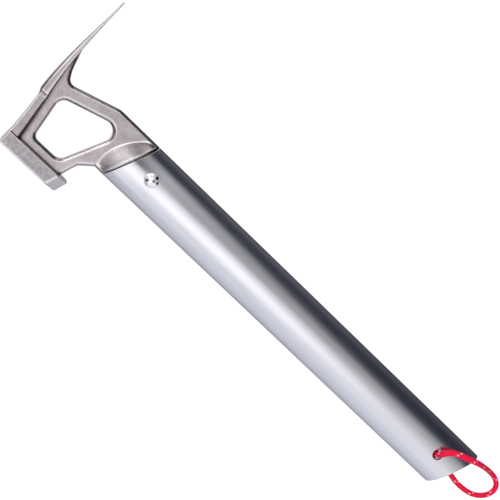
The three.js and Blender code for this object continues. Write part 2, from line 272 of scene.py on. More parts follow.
# Painted shade beside the joint, on the pick's side: millimetres from the joint, and then along Y
TUBE_SHADE_FADE = (-15, -2)
TUBE_SHADE_START = (0, -1.8)
TUBE_SHADE_END = (-10, -1.8)
TUBE_SHADE_DEPTH = 0.78
TUBE_SHADE_SPAN = 100
# colour of the painted shade beside the joint
TUBE_SHADE = (0.14, 0.15, 0.18, 1)

RIVET_SMEARS = 260
RIVET_MARKS = 900
SPOT_NOISE = 1400
SMEAR_FADE = (0.4, 0.65)
RIVET_METAL = 0.55
RIVET_ROUGHNESS = (0.07, 0.18)
RIVET_BUMP = 0.1
RIVET_LIGHT = (0.97, 0.97, 0.98, 1)
RIVET_SMEAR = (0.85, 0.84, 0.85, 1)
RIVET_SPOT_DARK = (0.02, 0.02, 0.025, 1)

CORD_FUZZ = 5200
CORD_BUMP = 0.06
GROOVE_SHADE_FADE, GROOVE_SHADE_DEPTH = (0.28, 0.5), 0.75  # painted shade, from a strand's middle, in strand widths
CORD_DARK = (0.66, 0.005, 0.038, 1)
CORD_LIGHT = (0.88, 0.01, 0.066, 1)
CORD_TRACER = (0.95, 0.3, 0.38, 1)
# painted shade in the grooves between strands
CORD_GROOVE_SHADE = (0.22, 0.002, 0.012, 1)
CORD_SHEEN = (1, 0.55, 0.6, 1)

# ---- camera, stage and light ----

CAMERA_TILT = math.radians(14)  # it leans back towards the head
CAMERA_ROLL = math.radians(46.027)
CAMERA_DISTANCE = 0.5875
CAMERA_AIM = Vector((0.01886, -0.000735, 0.012))
CAMERA_LENS = 86.4
CAMERA_SENSOR = 36
CAMERA_NEAR = 0.01

FLOOR_HALF_SIZE = 6.0
FLOOR_GAP = 0.0001
FLOOR_COLOUR = (0.3, 0.3, 0.305, 1)
FLOOR_GLOW = 0.82
FILL_PLACE = (0.25, -0.2, 1.5)
FILL_SIZE = 1.6
FILL_ENERGY = 21

# Brightness of the studio by its angle about the handle, in turns: 0 is the floor, 0.5 is
# overhead, the pick's side is below 0.5 and the striking side above it. All start and end
# with a brightness of 1, on the floor's side.
OVER_BUTT = [
    (0.03, 0.8), (0.06, 0.4), (0.4, 0.4), (0.475, 0.43), (0.493, 0.47), (0.5, 0.55),
    (0.512, 0.78), (0.53, 0.84), (0.6, 0.83), (0.66, 0.72), (0.76, 0.57), (0.84, 0.44),
    (0.95, 0.42),
]
OVER_TUBE = [
    (0.025, 0.8), (0.05, 0.38), (0.3, 0.9), (0.41, 0.9), (0.445, 0.42), (0.474, 0.34),
    (0.482, 0.24), (0.493, 0.3), (0.5, 0.74), (0.506, 1.18), (0.512, 1.38), (0.528, 1.34),
    (0.545, 1.04), (0.57, 0.76), (0.66, 0.71), (0.76, 0.61), (0.82, 0.44), (0.95, 0.38),
]
OVER_HEAD = [
    (0.03, 0.8), (0.06, 0.02), (0.375, 0.02), (0.395, 0.5), (0.405, 1.2), (0.455, 1.2),
    (0.476, 1), (0.49, 0.72), (0.51, 0.64), (0.522, 0.85), (0.535, 1.5), (0.62, 1.5),
    (0.645, 0.5), (0.67, 0.1), (0.95, 0.1),
]
PAST_HEAD = [
    (0.03, 1), (0.34, 0.85), (0.37, 0.4), (0.385, 0.04), (0.416, 0.04), (0.425, 1.6),
    (0.455, 1.7), (0.476, 1.05), (0.5, 0.8), (0.523, 0.65), (0.56, 0.45), (0.6, 0.2),
    (0.66, 0.15), (0.9, 0.3),
]
BEYOND_HEAD = [  # a bright panel far beyond the head, on the pick's side
    (0.3, 1.2), (0.34, 2.3), (0.415, 2.3), (0.435, 0.5), (0.48, 0.3), (0.9, 0.3),
]
# Between these values of a direction's X, one of them gives way to the next
BUTT_BLEND = (-0.28, -0.4)
HEAD_BLEND = (-0.09, -0.04)
PAST_HEAD_BLEND = (0.15, 0.35)
END_BLEND = (0.67, 0.74)
# A dark card along the pick's side of the tube: the light's share that passes it, by angle
DARK_CARD = [
    (0.03, 0.8), (0.06, 0.15), (0.25, 0.13), (0.3, 0.06), (0.36, 0.02), (0.4, 0.02),
    (0.42, 0.1), (0.436, 0.45), (0.449, 0.86), (0.458, 1),
]
CARD_COLOUR = (0.014, 0.016, 0.032, 1)
CARD_SLANT = 0.14  # turns for each unit of X
CARD_MIDDLE = -0.22
CARD_END = -0.36  # past here the slanted edge runs straight
COOL_SIDE = (0.55, 0.62)  # turns over which the striking side's light turns cooler
COOL_TINT = (0.955, 0.965, 1.04, 1)
STUDIO_TINT = (0.985, 0.985, 1.0, 1)
BACKDROP = (0.985, 0.985, 0.99, 1)


# ---- camera and mesh helpers ----


def add_object(name, data):
    made = bpy.data.objects.new(name, data)
    bpy.context.scene.collection.objects.link(made)
    return made


def make_camera():
    """Looks down at the hammer on its side, turned so that the head is at the upper left."""
    to_butt = Vector((-math.cos(CAMERA_TILT), 0, math.sin(CAMERA_TILT)))
    to_pick = Vector((0, -1, 0))
    back = Vector((math.sin(CAMERA_TILT), 0, math.cos(CAMERA_TILT)))
    right = math.sin(CAMERA_ROLL) * to_butt + math.cos(CAMERA_ROLL) * to_pick
    up = math.sin(CAMERA_ROLL) * to_pick - math.cos(CAMERA_ROLL) * to_butt
    data = bpy.data.cameras.new("camera")
    data.lens = CAMERA_LENS
    data.sensor_width = CAMERA_SENSOR
    data.clip_start = CAMERA_NEAR
    camera = add_object("camera", data)
    turn = Matrix((right, up, back)).transposed().to_4x4()
    camera.matrix_world = Matrix.Translation(CAMERA_AIM + CAMERA_DISTANCE * back) @ turn
    bpy.context.scene.camera = camera


def to_frame(points):
    """Millimetres along the handle's axes to metres in the row frame."""
    return ORIGIN + np.asarray(points) * MM


def make_piece(name, points, faces, material, normals=None, uv=None):
    """A smooth-shaded mesh object that rides on the body."""
    mesh = bpy.data.meshes.new(name)
    mesh.from_pydata(to_frame(points).tolist(), [], [list(map(int, f)) for f in faces])
    if uv is not None:
        layer = mesh.uv_layers.new(name="UVMap")
        corners = np.array([v for f in faces for v in f])
        layer.data.foreach_set("uv", uv(corners).astype(np.float32).ravel())
    mesh.materials.append(material)
    mesh.shade_smooth()
    if normals is not None:
        mesh.normals_split_custom_set_from_vertices(np.asarray(normals).tolist())
    piece = add_object(name, mesh)
    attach(piece, "root")
    return piece


def ring_faces(rings, sides, close=False):
    """Quads between rings of equal count, one after another; close joins the last to the first."""
    faces = []
    for i in range(rings if close else rings - 1):
        for j in range(sides):
            k = (j + 1) % sides
            a, b = i * sides, ((i + 1) % rings) * sides
            faces.append((a + j, a + k, b + k, b + j))
    return faces


def turned_rings(profile, x, sides):
    """A ring of points for each (radius, z) of a profile, round an axis along Z at that x."""
    angle = 2 * math.pi * np.arange(sides) / sides
    c, s = np.cos(angle), np.sin(angle)
    return [np.stack([x + r * c, r * s, np.full(sides, z)], 1) for r, z in profile]


def distances(points):
    """Distance along a line of points, up to each of them."""
    steps = np.linalg.norm(np.diff(points, axis=0), axis=1)
    return np.concatenate([[0], np.cumsum(steps)])


# ---- distance fields: negative inside, in millimetres ----


def fillet(a, b, radius):
    """Two bodies joined, with a fillet of that radius between them."""
    u = np.maximum(radius - a, 0)
    v = np.maximum(radius - b, 0)
    return np.maximum(radius, np.minimum(a, b)) - np.hypot(u, v)


def cut(a, b, radius):
    """What two bodies share, its edges rounded to that radius."""
    u = np.maximum(radius + a, 0)
    v = np.maximum(radius + b, 0)
    return np.minimum(-radius, np.maximum(a, b)) + np.hypot(u, v)


def rounded_outline(corners):
    """Points of a closed outline through (x, y, radius) corners, each rounded by an arc."""
    points = []
    for i, (x, y, radius) in enumerate(corners):
        corner = np.array((x, y), float)
        if radius == 0:
            points.append(corner)
            continue
        before = np.array(corners[i - 1][:2]) - corner
        after = np.array(corners[(i + 1) % len(corners)][:2]) - corner
        before /= np.linalg.norm(before)
        after /= np.linalg.norm(after)
        half = math.acos(before @ after) / 2
        middle = (before + after) / np.linalg.norm(before + after)
        centre = corner + middle * radius / math.sin(half)
        spoke = corner + before * radius / math.tan(half) - centre
        turning = before[0] * after[1] - before[1] * after[0]
        sweep = -(math.pi - 2 * half) * np.sign(turning)
        steps = math.ceil(abs(sweep) / ARC_STEP)
        for k in range(steps + 1):
            c, s = math.cos(sweep * k / steps), math.sin(sweep * k / steps)
            points.append(centre + (c * spoke[0] - s * spoke[1], s * spoke[0] + c * spoke[1]))
    return np.array(points)


def outline_field(points, x, y):
    """Distance to a closed outline."""
    nearest, inside = np.inf, False
    for (ax, ay), (bx, by) in zip(points, np.roll(points, -1, axis=0)):
        ex, ey = bx - ax, by - ay
        along = np.clip(((x - ax) * ex + (y - ay) * ey) / (ex * ex + ey * ey), 0, 1)
        away = (x - ax - along * ex) ** 2 + (y - ay - along * ey) ** 2
        nearest = np.minimum(nearest, away)
        if ey != 0:
            spans = (ay > y) != (by > y)
            inside = inside ^ (spans & (x < ax + ex * (y - ay) / ey))
    return np.where(inside, -1, 1) * np.sqrt(nearest)


def through(points, at):
    """The smooth curve through (position, value) points, as a polynomial."""
    position, value = np.array(points, float).T
    return np.polynomial.Polynomial.fit(position, value, len(points) - 1)(at)


def oval_field(y, z, half_width, half_thickness):
    """Distance to the tube's kind of flat oval."""
    u = np.maximum(np.abs(y) / half_width, 1e-6)
    v = np.maximum(np.abs(z) / half_thickness, 1e-6)
    size = (u**OVAL_POWER + v**OVAL_POWER) ** (1 / OVAL_POWER)
    power = OVAL_POWER - 1
    slope = np.hypot(u**power / half_width, v**power / half_thickness) / size**power
    return (size - 1) / slope


def slanted(x, y, at):
    """Distance past a cut plane that leans as the tube's ends do."""
    return (x - CUT_SLOPE * y - at) * CUT_COSINE


WEB_OUTLINE = rounded_outline(WEB_CORNERS)
WINDOW_OUTLINE = rounded_outline(WINDOW_CORNERS)


def web_field(x, y, side):
    flat = np.maximum(outline_field(WEB_OUTLINE, x, y), -outline_field(WINDOW_OUTLINE, x, y))
    return cut(flat, side - WEB_HALF_THICKNESS, WEB_EDGE)


def crown_field(x, y, side):
    """The spine across the back of the web, and the pick that goes on from it."""
    step = np.clip((STEP_TOP - y) / (STEP_TOP - STEP_BOTTOM), 0, 1)
    spine_y = np.maximum(y, STEP_BOTTOM)
    pick_y = np.clip(y, PICK_TIP - TIP_MARGIN, STEP_TOP)

    def blend(spine, pick):
        return through(spine, spine_y) * (1 - step) + through(pick, pick_y) * step

    outer = blend(SPINE_OUTER, PICK_OUTER)
    inner = blend(SPINE_INNER, PICK_INNER)
    half_width = blend(SPINE_HALF_WIDTHS, PICK_HALF_WIDTHS)
    thin = THIN_EDGE * (outer - inner)
    back_edge = np.minimum(SPINE_BACK_EDGE * (1 - step) + PICK_BACK_EDGE * step, thin)
    inner_edge = np.minimum(blend(SPINE_INNER_EDGES, PICK_INNER_EDGES), thin)
    blade = cut(x - outer, side - half_width, back_edge)
    blade = cut(blade, inner - x, inner_edge)
    return cut(blade, np.maximum(y - SPINE_TOP, PICK_TIP - y), inner_edge)


def block_field(x, y, side):
    """The striking block: its end towards the handle leans, and is chamfered on both sides."""
    near = BLOCK_NEAR + BLOCK_END_SLOPE * (y - BLOCK_BACK)
    end = (near - x) / math.hypot(1, BLOCK_END_SLOPE)
    flat = side - (BLOCK_HALF_WIDTH - BLOCK_CHAMFER)
    chamfer = (near - x + flat) / math.sqrt(2 + BLOCK_END_SLOPE**2)
    plan = cut(np.maximum(end, x - BLOCK_CROWN), side - BLOCK_HALF_WIDTH, BLOCK_EDGE)
    plan = cut(plan, chamfer, BLOCK_EDGE)
    return cut(plan, np.maximum(BLOCK_BACK - y, y - BLOCK_FACE), BLOCK_EDGE)


def shoulder_height(x, y):
    """Half height of the cone between the oval rim and the flat web, into which it eases."""
    half_width = TUBE_HALF_WIDTH - SHOULDER_INSET
    share = np.abs(y) / half_width
    oval = np.maximum(1 - share**OVAL_POWER, 0) ** (1 / OVAL_POWER)
    rim = (TUBE_HALF_THICKNESS - SHOULDER_INSET) * oval - np.maximum(np.abs(y) - half_width, 0)
    bulge = np.maximum(1 - share**2, 0)
    length = SHOULDER_EDGE_LENGTH + (SHOULDER_LENGTH - SHOULDER_EDGE_LENGTH) * bulge
    along = (x - CUT_SLOPE * y - LAND_END) / (length - LAND_END)
    past_end = SHOULDER_DROP * np.maximum(along - 1, 0)
    height = rim + (np.minimum(rim, WEB_HALF_THICKNESS) - rim) * along - past_end
    rise = 1 + (height - WEB_HALF_THICKNESS) / SHOULDER_BLEND
    eased = WEB_HALF_THICKNESS + SHOULDER_BLEND / 4 * rise * np.abs(rise)
    return np.where(np.abs(rise - 1) < 1, eased, height)


def shoulder_field(x, y, side):
    h = SLOPE_STEP
    slope_x = (shoulder_height(x + h, y) - shoulder_height(x - h, y)) / (2 * h)
    slope_y = (shoulder_height(x, y + h) - shoulder_height(x, y - h)) / (2 * h)
    cone = (side - shoulder_height(x, y)) / np.sqrt(1 + slope_x**2 + slope_y**2)
    return np.maximum(cone, -slanted(x, y, JOINT_GAP + RIM_OVERLAP))


def rim_field(x, y, z):
    """The oval rim that meets the tube, and the tang that goes on inside it."""
    start, end = slanted(x, y, JOINT_GAP), slanted(x, y, LAND_END)
    oval = oval_field(y, z, TUBE_HALF_WIDTH, TUBE_HALF_THICKNESS - RIM_STEP)
    rim = cut(oval, np.maximum(-start, end), RIM_EDGE)
    core = oval_field(y, z, TUBE_HALF_WIDTH - TANG_INSET, TUBE_HALF_THICKNESS - TANG_INSET)
    tang = cut(core, np.maximum(-slanted(x, y, -TANG_LENGTH), end), RIM_EDGE)
    rivet_hole = np.hypot(x - RIVET_X, y) - RIVET_HOLE_RADIUS
    return np.maximum(np.minimum(rim, tang), -rivet_hole)


def head_field(x, y, z):
    side = np.abs(z)
    root = np.interp(y, FILLET_CHANGE, (PICK_FILLET, SPINE_FILLET))
    body = fillet(web_field(x, y, side), crown_field(x, y, side), root)
    body = fillet(body, block_field(x, y, side), BLOCK_FILLET)
    return np.minimum(np.minimum(body, shoulder_field(x, y, side)), rim_field(x, y, z))


def crease_depth(x, y, z):
    """Distance from the corner that the web makes with the spine and the block."""
    side = np.abs(z)
    wall = np.minimum(crown_field(x, y, side), BLOCK_CREASE_SHARE * block_field(x, y, side))
    return np.maximum(web_field(x, y, side), wall) + TAIL_THINNING * np.maximum(TAIL_START - y, 0)


def across_pick(x, y):
    """Place across the pick, from 0 at its inner edge to 1 at its outer edge, and 0.5 off it."""
    along = np.clip(y, PICK_TIP, STEP_BOTTOM)
    outer, inner = through(PICK_OUTER, along), through(PICK_INNER, along)
    return np.where((y < STEP_BOTTOM) & (x > inner), (x - inner) / (outer - inner), 0.5)


def ridge_distance(x, y):
    """Height above or below the arc where the shoulder runs out into the web."""
    near_rim = slanted(x, y, LAND_END) < SHOULDER_LENGTH
    return np.where(near_rim, np.abs(shoulder_height(x, y) - WEB_HALF_THICKNESS), RIDGE_AWAY)


# ---- from a distance field to a mesh ----


def field_gradient(field, points, h=GRADIENT_STEP):
    steps = h * np.eye(3)
    return np.stack([field(*(points + s).T) - field(*(points - s).T) for s in steps], 1) / (2 * h)


def onto_surface(field, points, rounds):
    """Moves points along the field's slope until they lie on the surface."""
    for _ in range(rounds):
        slope = field_gradient(field, points)
        size = np.maximum((slope**2).sum(1, keepdims=True), LEAST_SLOPE)
        points = points - field(*points.T)[:, None] * slope / size
    return points


def surface_net(field, low, high, step):
    """Points and quads round a field's surface: one point in each grid cell that it crosses."""
    x, y, z = (np.arange(a, b, step) for a, b in zip(low, high))
    slabs = np.array_split(x[:, None, None], SLABS)
    inside = np.concatenate([field(slab, y[None, :, None], z[None, None, :]) < 0 for slab in slabs])
    cells = np.array(inside.shape) - 1
    count = np.zeros(cells, np.int8)
    for i in (0, 1):
        for j in (0, 1):
            for k in (0, 1):
                count += inside[i : i + cells[0], j : j + cells[1], k : k + cells[2]]
    crossed = np.argwhere((count > 0) & (count < 8))
    number = np.full(cells, -1)
    number[tuple(crossed.T)] = np.arange(len(crossed))
    points = np.array(low) + (crossed + 0.5) * step
    quads = []
    for axis in range(3):
        first = np.take(inside, range(cells[axis]), axis)
        second = np.take(inside, range(1, cells[axis] + 1), axis)
        edges = np.argwhere(first != second)
        leaving = first[tuple(edges.T)]
        u, v = np.eye(3, dtype=int)[[(axis + 1) % 3, (axis + 2) % 3]]
        turns = ((1, 1), (0, 1), (0, 0), (1, 0))
        ring = np.stack([number[tuple((edges - a * u - b * v).T)] for a, b in turns], 1)
        ring[~leaving] = ring[~leaving][:, ::-1]
        quads.append(ring)
    return points, np.concatenate(quads)


def relax(points, quads, share):
    """Moves each point towards the middle of its neighbours."""
    total = np.zeros_like(points)
    count = np.zeros(len(points))
    for a, b in ((0, 1), (1, 2), (2, 3), (3, 0)):
        np.add.at(total, quads[:, a], points[quads[:, b]])
        np.add.at(total, quads[:, b], points[quads[:, a]])
        np.add.at(count, quads[:, a], 1)
        np.add.at(count, quads[:, b], 1)
    return points + share * (total / count[:, None] - points)


def bend_of(field, points, h=BEND_STEP):
    """How sharply the surface bends at each point: above 0 on edges, below 0 in hollows."""
    steps = h * np.eye(3)
    around = sum(field(*(points + s).T) + field(*(points - s).T) for s in steps)
    return (around - 6 * field(*points.T)) / h**2


def make_head(material):
    points, quads = surface_net(head_field, HEAD_LOW, HEAD_HIGH, HEAD_GRID)
    points = onto_surface(head_field, points, rounds=3)
    for _ in range(2):
        points = relax(points, quads, share=0.5)
        points = onto_surface(head_field, points, rounds=2)
    normals = field_gradient(head_field, points, NORMAL_REACH)
    normals /= np.linalg.norm(normals, axis=1, keepdims=True)
    head = make_piece("cast_head", points, quads, material, normals)
    x, y, z = points.T
    sideways = np.abs(normals[:, 2])
    flat = sideways > FLAT_TILT
    on_block = block_field(x, y, np.abs(z)) < BLOCK_SKIN
    from_joint = slanted(x, y, JOINT_GAP)
    marks = {  # a number for each vertex, which cast_steel reads by these names
        "bend": bend_of(head_field, points) * flat,
        "crease": crease_depth(x, y, z),
        "across": across_pick(x, y),
        "ridge": ridge_distance(x, y),
        "land": from_joint,
        # where the painted shade by the joint falls
        "joint_shade": from_joint + JOINT_SHADE_SPREAD * np.minimum(y, 0),
        "block": on_block & flat,
        "chamfer": on_block & (normals[:, 0] < -CHAMFER_LEAN) & (sideways > CHAMFER_LEAN),
    }
    for name, values in marks.items():
        attribute = head.data.attributes.new(name, "FLOAT", "POINT")
        attribute.data.foreach_set("value", np.asarray(values, np.float32))
    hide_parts("head_casting")


# ---- handle tube ----


def oval_ring(half_width, half_thickness):
    angle = 2 * math.pi * np.arange(TUBE_SIDES) / TUBE_SIDES
    c, s = np.cos(angle), np.sin(angle)
    y = half_width * np.sign(c) * np.abs(c) ** (2 / OVAL_POWER)
    z = half_thickness * np.sign(s) * np.abs(s) ** (2 / OVAL_POWER)
    return y, z


def tube_rings():
    """(x, inset) of each ring: out along the outer wall, round the end, back along the inner."""
    e = TUBE_EDGE
    turns = np.linspace(0, math.pi / 2, EDGE_POINTS)
    corner = [(e * (1 - math.sin(t)), e * (1 - math.cos(t))) for t in turns]
    straight = TUBE_LENGTH - 2 * e
    outer = [(-TUBE_LENGTH + e + straight * i / TUBE_RINGS, 0) for i in range(TUBE_RINGS + 1)]
    head_outer = [(-back, inset) for back, inset in corner[1:]]
    head_inner = [(-back, TUBE_WALL - inset) for back, inset in reversed(corner)]
    inner = [(x, TUBE_WALL) for x, _ in reversed(outer[1:-1])]
    butt_inner = [(back - TUBE_LENGTH, TUBE_WALL - inset) for back, inset in corner]
    butt_outer = [(back - TUBE_LENGTH, inset) for back, inset in reversed(corner[1:])]
    return outer + head_outer + head_inner + inner + butt_inner + butt_outer


def hole_cutter(x, radius):
    """A round bar along Z that flares where it meets the tube's flat sides."""
    side = TUBE_HALF_THICKNESS
    flare = radius + HOLE_EDGE + CUTTER_LIFT
    upper = [(radius, side - HOLE_EDGE), (flare, side + CUTTER_LIFT), (flare, side + CUTTER_REACH)]
    profile = [(r, -z) for r, z in reversed(upper)] + upper
    rings = turned_rings(profile, x, HOLE_SIDES)
    faces = ring_faces(len(rings), HOLE_SIDES)
    faces.append(tuple(reversed(range(HOLE_SIDES))))
    faces.append(tuple(range((len(rings) - 1) * HOLE_SIDES, len(rings) * HOLE_SIDES)))
    mesh = bpy.data.meshes.new("hole_cutter")
    mesh.from_pydata(to_frame(np.concatenate(rings)).tolist(), [], faces)
    return add_object("hole_cutter", mesh)


def drill(tube, x, radius):
    """Cuts a round hole through both of the tube's walls."""
    cutter = hole_cutter(x, radius)
    step = tube.modifiers.new("hole", "BOOLEAN")
    step.operation = "DIFFERENCE"
    step.solver = "EXACT"
    step.object = cutter
    bpy.context.view_layer.update()
    drilled = tube.evaluated_get(bpy.context.evaluated_depsgraph_get())
    mesh = bpy.data.meshes.new_from_object(drilled)
    tube.modifiers.remove(step)
    tube.data = mesh
    bpy.data.objects.remove(cutter)


def tube_normals(mesh):
    """Each vertex's true normal: on the oval walls from the oval, and elsewhere from its faces."""
    count = len(mesh.vertices)
    place, normal = np.zeros(count * 3), np.zeros(count * 3)
    mesh.vertices.foreach_get("co", place)
    mesh.vertices.foreach_get("normal", normal)
    place = (place.reshape(-1, 3) - ORIGIN) / MM
    normal = normal.reshape(-1, 3)
    for inset, sign in ((0, 1), (TUBE_WALL, -1)):
        a, b = TUBE_HALF_WIDTH - inset, TUBE_HALF_THICKNESS - inset
        u, v = np.abs(place[:, 1]) / a, np.abs(place[:, 2]) / b
        on_wall = np.abs((u**OVAL_POWER + v**OVAL_POWER) - 1) < WALL_TOLERANCE
        slope_y = np.sign(place[:, 1]) * u ** (OVAL_POWER - 1) / a
        slope_z = np.sign(place[:, 2]) * v ** (OVAL_POWER - 1) / b
        true = np.stack([np.zeros(count), slope_y, slope_z], 1)
        true /= np.maximum(np.linalg.norm(true, axis=1, keepdims=True), 1e-9)
        normal[on_wall] = sign * true[on_wall]
    return normal


def make_tube(material):
    rings = tube_rings()
    points = []
    for x, inset in rings:
        y, z = oval_ring(TUBE_HALF_WIDTH - inset, TUBE_HALF_THICKNESS - inset)
        points.append(np.stack([x + CUT_SLOPE * y, y, z], 1))
    faces = ring_faces(len(rings), TUBE_SIDES, close=True)
    tube = make_piece("handle", np.concatenate(points), faces, material)
    drill(tube, RIVET_X, RIVET_HOLE_RADIUS)
    drill(tube, CORD_HOLE_X, CORD_HOLE_RADIUS)
    tube.data.shade_smooth()
    tube.data.normals_split_custom_set_from_vertices(tube_normals(tube.data).tolist())
    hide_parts("handle_tube")


# ---- rivet ----


def rivet_profile():
    """(radius, z) points of its upper half: over the dome, round the lip and in to the shank."""
    top = RIVET_UNDER + RIVET_DOME_HEIGHT
    ball = (RIVET_DOME_RADIUS**2 + RIVET_DOME_HEIGHT**2) / (2 * RIVET_DOME_HEIGHT)
    spread = math.asin(RIVET_DOME_RADIUS * DOME_SHARE / ball)
    turns = [spread * i / DOME_STEPS for i in range(DOME_STEPS + 1)]
    dome = [(ball * math.sin(t), top - ball * (1 - math.cos(t))) for t in turns]
    return dome + [
        (RIVET_DOME_RADIUS - LIP_BEVEL, dome[-1][1] - LIP_BEVEL),
        (RIVET_DOME_RADIUS, RIVET_UNDER + LIP_HEIGHT),
        (RIVET_DOME_RADIUS - LIP_UNDERCUT, RIVET_UNDER),
        (RIVET_SHANK_RADIUS + SHANK_BEVEL, RIVET_UNDER),
        (RIVET_SHANK_RADIUS, RIVET_UNDER - SHANK_BEVEL),
    ]


def make_rivet(material):
    """A shank with a low round head on each end."""
    upper = rivet_profile()
    profile = upper + [(r, -z) for r, z in reversed(upper)]
    top = upper[0][1]
    rings = turned_rings(profile[1:-1], RIVET_X, RIVET_SIDES)
    points = np.concatenate([[(RIVET_X, 0, top)], *rings, [(RIVET_X, 0, -top)]])
    last = len(points) - 1
    start = last - RIVET_SIDES
    faces = [tuple(1 + v for v in reversed(f)) for f in ring_faces(len(rings), RIVET_SIDES)]
    faces += [(0, 1 + j, 1 + (j + 1) % RIVET_SIDES) for j in range(RIVET_SIDES)]
    faces += [(last, start + (j + 1) % RIVET_SIDES, start + j) for j in range(RIVET_SIDES)]
    rivet = make_piece("rivet", points, faces, material)
    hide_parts("head_rivet")


# ---- cord and knot ----


def smooth_route(points, step):
    """Evenly spaced points on a smooth curve through the route, and how far along each one is."""
    p = np.array(points, float)
    p = np.concatenate([[2 * p[0] - p[1]], p, [2 * p[-1] - p[-2]]])
    dense = []
    for i in range(1, len(p) - 2):
        a, b, c, d = p[i - 1 : i + 3]
        for t in np.arange(0, 1, ROUTE_STEP):
            first = (c - a) * t
            second = (2 * a - 5 * b + 4 * c - d) * t**2
            third = (3 * b - a - 3 * c + d) * t**3
            dense.append(0.5 * (2 * b + first + second + third))
    dense.append(p[-2])
    dense = np.array(dense)
    run = distances(dense)
    at = np.linspace(0, run[-1], max(2, round(run[-1] / step)))
    return np.stack([np.interp(at, run, dense[:, i]) for i in range(3)], 1), at


def frames_along(line):
    """A pair of unit vectors across the line at each point, which turn as little as they can."""
    tangent = np.gradient(line, axis=0)
    tangent /= np.linalg.norm(tangent, axis=1, keepdims=True)
    u = np.cross(tangent[0], START_SIDE)
    first = []
    for t in tangent:
        u = u - (u @ t) * t
        u = u / np.linalg.norm(u)
        first.append(u)
    first = np.array(first)
    return first, np.cross(tangent, first)


def braid_height(angle, run):
    """Height of a plain braid, whose two families of strands pass over and under each other."""
    along = BRAID_STRANDS * run / BRAID_PITCH
    a = angle * BRAID_STRANDS / (2 * math.pi) + along
    b = angle * BRAID_STRANDS / (2 * math.pi) - along
    over = (np.floor(a) + np.floor(b)) % 2
    across = np.where(over == 0, a, b) % 1
    under = np.where(over == 0, b, a) % 1
    crown = np.sqrt(np.maximum(1 - (2 * across - 1) ** 2, 0))
    arch = np.sin(math.pi * under)
    return crown * (BRAID_LOW + BRAID_RISE * arch)


def braided_tube(name, line, run, radius, material):
    """A braided tube along the line. Its UV map counts turns round it and pitches along it."""
    u, v = frames_along(line)
    angle = 2 * math.pi * np.arange(CORD_SIDES) / CORD_SIDES
    relief = BRAID_RELIEF * (braid_height(angle[None, :], run[:, None]) - BRAID_MEAN)
    r = (np.reshape(radius, (-1, 1)) + relief)[..., None]
    c, s = np.cos(angle)[None, :, None], np.sin(angle)[None, :, None]
    around = c * u[:, None, :] + s * v[:, None, :]
    points = (line[:, None, :] + r * around).reshape(-1, 3)
    rings = len(line)
    faces = ring_faces(rings, CORD_SIDES)
    points = np.concatenate([points, line[:1], line[-1:]])
    first, last = len(points) - 2, len(points) - 1
    faces += [(first, (j + 1) % CORD_SIDES, j) for j in range(CORD_SIDES)]
    start = (rings - 1) * CORD_SIDES
    faces += [(last, start + j, start + (j + 1) % CORD_SIDES) for j in range(CORD_SIDES)]
    side = np.concatenate([np.tile(np.arange(CORD_SIDES), rings), [0, 0]])
    along = np.concatenate([np.repeat(run, CORD_SIDES), run[:1], run[-1:]]) / BRAID_PITCH

    def uv(corners):
        quads = corners[: (rings - 1) * CORD_SIDES * 4].reshape(-1, 4)
        turn = side[corners] / CORD_SIDES
        wrap = np.zeros(len(corners))
        wraps = (side[quads].max(1) - side[quads].min(1) > 1)[:, None] & (side[quads] == 0)
        wrap[: quads.size] = wraps.ravel()
        return np.stack([turn + wrap, along[corners]], 1)

    return make_piece(name, points, faces, material, uv=uv)


def make_knot(material):
    """The overhand knot that joins the cord's ends inside the handle, pulled tight."""
    t = np.linspace(0, 2 * math.pi, KNOT_POINTS)
    x = np.sin(t) + 2 * np.sin(2 * t)
    y = np.cos(t) - 2 * np.cos(2 * t)
    z = -np.sin(3 * t)
    line = KNOT_CENTRE + KNOT_SCALE * np.stack([x, y, z], 1)
    radius = CORD_RADIUS - KNOT_THINNER
    knot = braided_tube("knot", line, distances(line), radius, material)
    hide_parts("cord_knot")
    return knot


def make_cord(material):
    line, run = smooth_route(CORD_ROUTE, CORD_RING_STEP)
    radius = CORD_RADIUS * np.interp(run, *CORD_SWELL)
    piece = braided_tube("cord", line, run, radius, material)
    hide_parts("wrist_cord")
    knot = make_knot(material)


# ---- materials ----


def set_inputs(tree, made, inputs):
    """Each input is linked to a socket, or set to a value."""
    for socket, value in inputs.items():
        if isinstance(value, bpy.types.NodeSocket):
            tree.links.new(value, made.inputs[socket])
        else:
            made.inputs[socket].default_value = value


def node(tree, kind, inputs=None, **settings):
    """A shader node with its settings and inputs."""
    made = tree.nodes.new("ShaderNode" + kind)
    for name, value in settings.items():
        setattr(made, name, value)
    set_inputs(tree, made, inputs or {})
    return made


def new_material(name):
    material = bpy.data.materials.new(name)
    material.use_nodes = True
    tree = material.node_tree
    return material, tree, tree.nodes["Principled BSDF"]


def noise(tree, scale, detail=2.0, roughness=0.5, stretch=(1, 1, 1)):
    """Noise on the object's own coordinates, from 0 to 1; scale is cycles per metre."""
    place = node(tree, "TexCoord").outputs["Object"]
    place = node(tree, "Mapping", {"Vector": place, "Scale": stretch}).outputs["Vector"]
    inputs = {"Vector": place, "Scale": scale, "Detail": detail, "Roughness": roughness}
    return node(tree, "TexNoise", inputs).outputs["Fac"]


def remap(tree, value, from_low, from_high, to_low=0, to_high=1):
    sockets = {0: value, 1: from_low, 2: from_high, 3: to_low, 4: to_high}
    return node(tree, "MapRange", sockets).outputs[0]


def maths(tree, operation, a, b=0.0, c=0.0):
    return node(tree, "Math", {0: a, 1: b, 2: c}, operation=operation).outputs[0]


def mix_colours(tree, share, a, b):
    return node(tree, "Mix", {0: share, 6: a, 7: b}, data_type="RGBA").outputs[2]


def tinted(tree, share, colour, tint):
    sockets = {0: share, 6: colour, 7: tint}
    return node(tree, "Mix", sockets, data_type="RGBA", blend_type="MULTIPLY").outputs[2]


